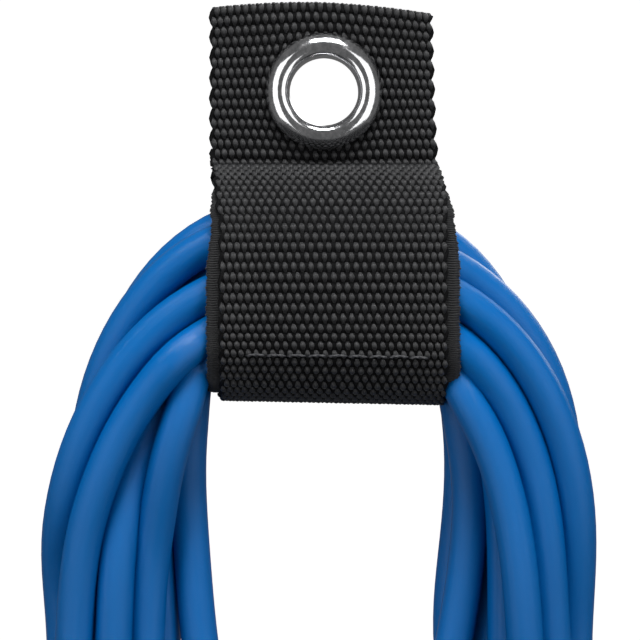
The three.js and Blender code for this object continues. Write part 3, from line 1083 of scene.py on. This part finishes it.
@dataclass
class Webbing:
    """Plain-woven strap webbing, built yarn by yarn in the flat and laid on the strap line."""

    line: StrapLine
    width: float = 50.8
    warps: int = 55
    row: float = 2.29
    rings: int = 6
    lift: float = 0.6
    weft_lift: float = 0.16
    flatness: float = 1.6
    weft_flatness: float = 4.2
    slim: float = 0.31
    swell: float = 0.38
    weft_half: float = 1.36
    hole: float = 9.5

    def warp_across(self) -> np.ndarray:
        """Gives each warp yarn's place across the strap, closer together at the edges."""
        t = (np.arange(self.warps) + 0.5) / self.warps * 2 - 1
        return self.width / 2 * (1.10 * t - 0.10 * t**3) * 0.985

    def open_runs(self, strand: np.ndarray) -> list[np.ndarray]:
        """Cuts a strand where the eyelet's hole passes through it.

        Args:
            strand: Rows of distance along, across, outwards and radius.

        Returns:
            The runs that stay.
        """
        _y, z, _oy, _oz = self.line.at(strand[:, 0])
        spare = self.hole + 0.4 * strand[:, 3]
        keep = (np.hypot(strand[:, 1], z) > spare) | (strand[:, 0] > self.line.crease_at)
        runs, start = [], None
        for i, kept in enumerate([*keep, False]):
            if kept and start is None:
                start = i
            elif not kept and start is not None:
                if i - start > 2:
                    runs.append(strand[start:i])
                start = None
        return runs

    def warp_strands(self, first: int, last: int) -> list[np.ndarray]:
        """Makes the yarns that run along the strap between two rows."""
        rng = random.Random(SEED + first)
        count = (last - first) * self.rings + 1
        along = (first - 0.5 + np.arange(count) / self.rings) * self.row
        strands = []
        for i, across in enumerate(self.warp_across()):
            wave = np.cos(math.pi * (along / self.row + i))
            crest = np.sign(wave) * np.abs(wave) ** 2.0
            half = self.slim + self.swell * np.abs(crest)
            half *= 1 + rng.uniform(-0.05, 0.05)
            lean = 0.10 * np.sin(math.pi * (along / self.row + i) + 0.8)
            strand = np.column_stack([
                along,
                across + lean + rng.uniform(-0.05, 0.05),
                self.lift * crest * self.flatness,
                half,
            ])
            strands += self.open_runs(strand)
        return strands

    def weft_strands(self, first: int, last: int) -> list[np.ndarray]:
        """Makes the yarn that runs back and forth across the strap, with a turn at each edge."""
        across = self.warp_across()
        edge = self.width / 2
        rows = []
        for k in range(first, last):
            sign = -np.cos(math.pi * (k + np.arange(self.warps)))
            go = np.column_stack([
                np.full(self.warps, k * self.row), across,
                self.weft_lift * sign * self.weft_flatness,
                np.full(self.warps, self.weft_half),
            ])
            side = 1 if k % 2 == 0 else -1
            rows.append(go if side > 0 else go[::-1])
            if k < last - 1:
                turn = [
                    ((k + 0.5 - 0.5 * math.cos(a)) * self.row,
                     side * (edge - 0.75 + 0.45 * math.sin(a)), 0.0, self.weft_half * 0.5)
                    for a in (0.3, math.pi / 2, math.pi - 0.3)
                ]
                rows.append(np.array(turn))
        return self.open_runs(np.vstack(rows))

    def cloth(self, name: str, start: float, end: float) -> bpy.types.Mesh:
        """Weaves the webbing between two distances along the strap line.

        Args:
            name: Name for the mesh.
            start: Distance along where it starts.
            end: Distance along where it ends.

        Returns:
            The woven mesh on the strap, in metres.
        """
        first, last = math.ceil(start / self.row), math.floor(end / self.row) + 1

        def lay(flat: np.ndarray, flatness: float) -> np.ndarray:
            """Flattens the round yarns and lays them on the strap."""
            flat = flat.copy()
            flat[:, 2] /= flatness
            return self.line.place(flat)

        warp = moved(swept(f"{name}_warp", self.warp_strands(first, last), 6),
                     lambda flat: lay(flat, self.flatness))
        weft = moved(swept(f"{name}_weft", self.weft_strands(first, last), 6),
                     lambda flat: lay(flat, self.weft_flatness))
        # The weft takes the darkened finish that paints the shade between the rows.
        return joined(name, [(warp, YARN), (weft, SHADED_CROSS_YARN)])


@dataclass
class HangingStrap:
    """The webbing strap with its linings, closure and seams."""

    line: StrapLine = field(default_factory=StrapLine)
    pile_width: float = 56.0
    pile_thick: float = 1.2
    pile_depth: float = 1.8
    closure_width: float = 46.0
    tape_thick: float = 0.45
    loop_tape_y: float = 2.53
    hook_tape_y: float = 4.35
    front_seam: float = -61.5
    hinge: tuple[float, float] = (1.65, -73.8)

    def add_webbing(self) -> None:
        """Weaves the tab, the front leg and the flap."""
        web = Webbing(self.line)
        crease, hinge = self.line.crease_at, self.line.hinge_at
        tab = piece("tab_webbing", web.cloth("tab_webbing", 0.8, crease), YARN)
        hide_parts("strap_webbing")
        loop = piece(
            "loop_webbing", web.cloth("loop_webbing", crease + 0.01, hinge), YARN
        )
        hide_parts("strap_webbing")
        flap = piece(
            "flap_webbing_woven",
            web.cloth("flap_webbing_woven", hinge + 0.01, self.line.end_at - 1.0),
            YARN, None,
        )
        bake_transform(flap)
        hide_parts("flap_webbing")

    def taper(self, along: Any) -> Any:
        """Gives how much narrower each side of the lining is at a distance along the strap."""
        return 2.4 * np.clip((self.line.pile_at + 22 - along) / 22, 0, 1)

    def add_pile(self) -> None:
        """Makes the napped lining inside the front leg, with its knitted edges."""
        start, end = self.line.pile_at + 1, self.line.hinge_at - 0.6
        half = self.pile_width / 2
        bm = bmesh.new()
        bmesh.ops.create_grid(bm, x_segments=90, y_segments=24, size=0.5)
        mesh = mesh_of(bm, "pile_slab", smooth=True)

        def lay(flat: np.ndarray) -> np.ndarray:
            """Lays the unit square on the inside of the strap."""
            along = start + (flat[:, 0] + 0.5) * (end - start)
            across = flat[:, 1] * 2 * (half - 0.4 - self.taper(along))
            out = -self.pile_depth + 0.05 * np.sin(along * 2.1) * np.sin(across * 1.7)
            return self.line.place(np.column_stack([along, across, out]))

        slab = self.solid(moved(mesh, lay), self.pile_thick * 0.8)
        strands = []
        pitch = 0.56
        for side in (-1, 1):
            for i in range(int((end - start) / pitch)):
                along = start + i * pitch
                wobble = 0.12 * math.sin(i * 2.3) + 0.1 * math.sin(i * 0.7)
                edge = half - self.taper(along)
                rows = [
                    (along, side * (edge - 4.0), -1.25, 0.2),
                    (along, side * (edge - 2.6), -1.14, 0.25),
                    (along + 0.1, side * (edge - 1.2), -1.14, 0.27),
                    (along, side * (edge - 0.25 + wobble), -1.35, 0.28),
                    (along + 0.1, side * (edge + 0.1 + wobble), -1.8, 0.3),
                    (along, side * (edge - 0.35), -2.3, 0.28),
                    (along, side * (edge - 1.4), -2.45, 0.2),
                ]
                strands.append(np.array(rows))
        edges = moved(swept("pile_edges", strands, 6), self.line.place)
        mesh = joined("pile_lining_knit", [(slab, PILE), (edges, KNIT)])
        pile = piece("pile_lining_knit", mesh, PILE)
        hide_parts("pile_lining")

    @staticmethod
    def solid(mesh: bpy.types.Mesh, thick: float) -> bpy.types.Mesh:
        """Gives an open sheet a thickness, half to each side.

        Args:
            mesh: The sheet, in metres.
            thick: The thickness in millimetres.

        Returns:
            The closed mesh.
        """
        bm = bmesh.new()
        bm.from_mesh(mesh)
        bmesh.ops.recalc_face_normals(bm, faces=bm.faces)
        for vert in bm.verts:
            vert.co += vert.normal * thick * MM / 2
        bmesh.ops.solidify(bm, geom=list(bm.faces), thickness=thick * MM)
        bmesh.ops.recalc_face_normals(bm, faces=bm.faces)
        for face in bm.faces:
            face.smooth = True
        bm.to_mesh(mesh)
        bm.free()
        return mesh

    def tape(self, node: str, y: float) -> tuple[bpy.types.Mesh, float, float]:
        """Makes the flat tape of one half of the closure.

        Args:
            node: The CAD node that it stands for, which gives its height.
            y: The y of the tape's middle, in millimetres.

        Returns:
            The mesh, and the tape's low edge and height in millimetres.
        """
        low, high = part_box(node)
        tall = (high[2] - low[2]) / MM
        bm = bmesh.new()
        size = (self.closure_width, self.tape_thick, tall)
        rounded_block(bm, size, (0, y, (low[2] + high[2]) / 2 / MM), 0.18)
        return mesh_of(bm, f"{node}_tape"), low[2] / MM, tall

    def add_loops(self) -> None:
        """Makes the loop patch on the tongue: a tape with loops that lean at random."""
        base, low, tall = self.tape("loop_patch", self.loop_tape_y)
        rng = random.Random(SEED)
        half, row_pitch, pitch, stray, reach = self.closure_width / 2, 1.1, 1.25, 0.3, 0.5
        loops = []
        for row in range(int(tall / row_pitch)):
            for column in range(int(self.closure_width / pitch)):
                x = -half + 0.8 + column * pitch + rng.uniform(-stray, stray)
                z = low + 0.6 + row * row_pitch + rng.uniform(-stray, stray)
                turn = rng.uniform(0, math.pi)
                dx, dz = reach * math.cos(turn), reach * math.sin(turn)
                loops.append(np.array([
                    (x + share * dx, y, z + share * dz, 0.1)
                    for share, y in ((-1, 2.7), (-1, 3.05), (0, 3.28), (1, 3.05), (1, 2.7))
                ]))
        nap = moved(swept("closure_loops", loops, 4), lambda flat: flat * MM)
        mesh = joined("loop_patch_napped", [(base, PILE), (nap, KNIT)])
        patch = piece("loop_patch_napped", mesh, PILE)
        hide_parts("loop_patch")

    def add_hooks(self) -> None:
        """Makes the hook strip on the flap: a tape with hooks that face up and down in turn."""
        base, low, tall = self.tape("hook_strip", self.hook_tape_y)
        half, row_pitch, pitch, margin = self.closure_width / 2, 1.7, 1.5, 0.9
        hooks = []
        for row in range(int(tall / row_pitch)):
            for column in range(int(self.closure_width / pitch)):
                x = -half + margin + column * pitch
                z = low + margin + row * row_pitch
                bend = 0.35 if (row + column) % 2 else -0.35
                hooks.append(np.array([
                    (x, 4.2, z, 0.16), (x, 3.85, z, 0.13), (x, 3.66, z + bend * 0.4, 0.11),
                    (x, 3.66, z + bend, 0.1), (x, 3.84, z + bend * 1.25, 0.08),
                ]))
        bristles = moved(swept("closure_hooks", hooks, 4), lambda flat: flat * MM)
        mesh = joined("hook_strip_moulded", [(base, KNIT), (bristles, HOOKS)])
        strip = piece("hook_strip_moulded", mesh, HOOKS, FLAP)
        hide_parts("hook_strip")

    def stitches(
        self, name: str, along: float, out: float, span: tuple[float, float], sag: float
    ) -> bpy.types.Mesh:
        """Makes a row of lockstitches across the strap.

        Args:
            name: Name for the mesh.
            along: Distance along the strap line.
            out: How far the stitches stand outwards; negative lies on the inner face.
            span: Where the row starts and ends across the strap.
            sag: How much the row's far end dips along the strap.

        Returns:
            The mesh, in metres.
        """
        rng = random.Random(SEED + round(along))
        side = math.copysign(1, out)
        stitch, gap = 4.1, 0.45
        strands = []
        x = span[0]
        while x + stitch < span[1]:
            dip = sag * max(0.0, (x - span[1] * 0.55) / (span[1] * 0.45)) ** 2
            lean = rng.uniform(-0.12, 0.12)
            for ply in (0, 1):
                rows = []
                for t in np.linspace(0, 1, 9):
                    twist = math.tau * 1.5 * t + math.pi * ply
                    arch = math.sin(math.pi * t)
                    rows.append((
                        along + dip + lean * t - 0.35 * arch + 0.14 * math.sin(twist),
                        x + stitch * t,
                        out - side * 0.75 * (1 - min(1.0, 3.2 * arch)) + 0.14 * math.cos(twist),
                        0.24,
                    ))
                strands.append(np.array(rows))
            x += stitch + gap
        return moved(swept(name, strands, 6), self.line.place)

    def add_seams(self) -> None:
        """Makes the front, tongue and flap seams."""
        _y, z, _oy, _oz = self.line.at(self.line.along)
        front = (self.line.along > self.line.crease_at + 30) & (z < self.front_seam)
        seam = float(self.line.along[front][0])
        across = (-20, 20)
        rows = self.stitches("front_seam_stitches", seam, 0.98, (-19.5, 24.5), 1.4)
        thread = piece("front_seam_stitches", rows, THREAD)
        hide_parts("front_seam_thread")
        rows = self.stitches("tongue_seam_stitches", 3.0, -1.0, across, 0)
        thread = piece("tongue_seam_stitches", rows, THREAD)
        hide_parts("tongue_seam_thread")
        rows = self.stitches("flap_seam_stitches", self.line.end_at - 4, 0.98, across, 0)
        thread = piece("flap_seam_stitches", rows, THREAD, FLAP)
        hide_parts("flap_seam_thread")

    def build(self) -> None:
        """Makes every piece of the strap."""
        self.add_webbing()
        self.add_pile()
        self.add_loops()
        self.add_hooks()
        self.add_seams()


@dataclass
class Grommet:
    """Pressed eyelet and washer round the hanging hole; radius and y in millimetres."""

    steps: int = 96
    lip: tuple[tuple[float, float], ...] = (
        (7.85, -2.4), (7.9, -3.2), (8.15, -3.95), (8.65, -4.6), (9.4, -5.0), (10.3, -5.08),
        (11.2, -4.82), (12.05, -4.3), (12.75, -3.6), (13.2, -2.9), (13.3, -2.45), (13.0, -2.3),
    )
    tail: tuple[tuple[float, float], ...] = (
        (8.75, -2.3), (8.75, 3.15), (10.4, 3.15), (10.75, 3.4), (10.6, 3.8), (9.8, 4.15),
        (8.75, 4.2), (8.0, 4.0), (7.85, 3.6),
    )
    washer: tuple[tuple[float, float], ...] = (
        (9.15, 2.35), (13.15, 2.35), (13.35, 2.5), (13.3, 2.75), (13.1, 2.9), (9.2, 2.9),
        (9.05, 2.75),
    )

    def build(self) -> None:
        """Spins the eyelet and the washer."""
        roll = [tuple(p) for p in smooth_line(list(self.lip), 3)]
        mesh = spun("grommet_eyelet_spun", [*roll, *self.tail], self.steps, "Y")
        eyelet = piece("grommet_eyelet_spun", mesh, NICKEL)
        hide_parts("grommet_eyelet")
        mesh = spun("grommet_washer_spun", list(self.washer), self.steps, "Y")
        washer = piece("grommet_washer_spun", mesh, NICKEL)
        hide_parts("grommet_washer")


# ---- plug and connector ----


@dataclass
class MouldedEnd:
    """A moulded plug or connector: body, grip ribs and strain relief."""

    name: str
    x: float
    relief_wide: float = 8.6
    relief_narrow: float = 6.0
    bore: float = 4.45
    grooves: int = 6
    rib_pitch: float = 3.4
    ribs: int = 7
    rib: tuple[float, float, float] = (11.0, 1.0, 1.5)
    rib_start: float = 7.0

    def add_body(self) -> bpy.types.Object:
        """Copies the body's solid, merges its flat faces and shades its rounded edges smooth."""
        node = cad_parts[f"{self.name}_body"]
        bm = bmesh.new()
        bm.from_mesh(node.data)
        bmesh.ops.remove_doubles(bm, verts=bm.verts, dist=1e-6)
        bmesh.ops.dissolve_limit(
            bm, angle_limit=math.radians(1), verts=bm.verts, edges=bm.edges
        )
        for edge in bm.edges:
            edge.smooth = edge.calc_face_angle(0) < math.radians(35)
        mesh = mesh_of(bm, f"{self.name}_body_moulded", smooth=True)
        body = piece(mesh.name, mesh, MOULDED)
        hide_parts(f"{self.name}_body")
        return body

    def add_ribs(self) -> bpy.types.Object:
        """Makes the raised finger grips on both broad sides."""
        low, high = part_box(f"{self.name}_body")
        bm = bmesh.new()
        wide, proud, tall = self.rib
        for i in range(self.ribs):
            narrow = 1 - 0.05 * i
            for y, sign in ((low[1] / MM, -1), (high[1] / MM, 1)):
                z = low[2] / MM + self.rib_start + i * self.rib_pitch
                at = (self.x, y + sign * 0.1, z)
                rounded_block(bm, (wide * narrow, proud, tall), at, 0.45)
        mesh = mesh_of(bm, f"{self.name}_grip_ribs")
        return piece(mesh.name, mesh, MOULDED)

    def add_relief(self) -> bpy.types.Object:
        """Spins the tapered strain relief with its bending grooves."""
        low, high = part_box(f"{self.name}_strain_relief")
        base, top = low[2] / MM, high[2] / MM
        height = top - base
        outside = [(self.relief_wide - 0.4, base), (self.relief_wide, base + 0.5)]
        pitch = (height - 5) / self.grooves
        for i in range(self.grooves):
            z = base + 2.6 + i * pitch
            for share, sink in ((0.0, 0.0), (0.12, 0.7), (0.26, 1.2), (0.4, 0.7), (0.52, 0.0)):
                at = z + share * pitch
                wide = self.relief_wide + (self.relief_narrow - self.relief_wide) * (
                    (at - base) / height
                )
                outside.append((wide - sink, at))
        outside += [(self.relief_narrow, top - 0.6), (self.relief_narrow - 0.5, top)]
        profile = [(self.bore, base), *outside, (self.bore, top)]
        mesh = spun(f"{self.name}_relief_grooved", profile, 48, "Z")
        mesh.transform(Matrix.Translation((self.x * MM, TAIL_Y * MM, 0)))
        relief = piece(mesh.name, mesh, MOULDED)
        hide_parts(f"{self.name}_strain_relief")
        return relief

    def build(self) -> list[bpy.types.Object]:
        """Makes the end's own pieces and returns them."""
        return [self.add_body(), self.add_ribs(), self.add_relief()]


# The nodes inside the plug and the connector.
CORE_FINISHES = {
    "plug_core": INSERT, "line_blade": BRASS, "neutral_blade": BRASS, "ground_pin": BRASS,
    "plug_line_wire": LINE_SHEATH, "plug_neutral_wire": NEUTRAL_SHEATH,
    "plug_ground_wire": GROUND_SHEATH, "connector_face": INSERT, "line_contact": BRASS,
    "neutral_contact": BRASS, "ground_contact": BRASS, "connector_line_wire": LINE_SHEATH,
    "connector_neutral_wire": NEUTRAL_SHEATH, "connector_ground_wire": GROUND_SHEATH,
}
# The nodes that the pieces above replace.
REPLACED_FINISHES = {
    "strap_webbing": YARN, "flap_webbing": YARN, "pile_lining": PILE, "loop_patch": PILE,
    "hook_strip": HOOKS, "front_seam_thread": THREAD, "tongue_seam_thread": THREAD,
    "flap_seam_thread": THREAD, "grommet_eyelet": NICKEL, "grommet_washer": NICKEL,
    "cord_coil": JACKET, "plug_lead": JACKET, "connector_lead": JACKET, "plug_body": MOULDED,
    "plug_strain_relief": MOULDED, "connector_body": MOULDED,
    "connector_strain_relief": MOULDED,
}


def dress_nodes() -> None:
    """Gives every CAD node its finish."""
    for name, finish in (CORE_FINISHES | REPLACED_FINISHES).items():
        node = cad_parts[name]
        node.data.materials.clear()
        node.data.materials.append(finish.build())


def main() -> None:
    """Builds the studio and every piece, in order."""
    Studio().build()
    strap = StrapLine()
    winding = CoiledCord(strap)
    cord = winding.build()
    plug = MouldedEnd("plug", winding.plug_x).build()
    connector = MouldedEnd("connector", winding.connector_x, ribs=9).build()
    HangingStrap(strap).build()
    Grommet().build()
    dress_nodes()


if __name__ == "__main__":
    main()
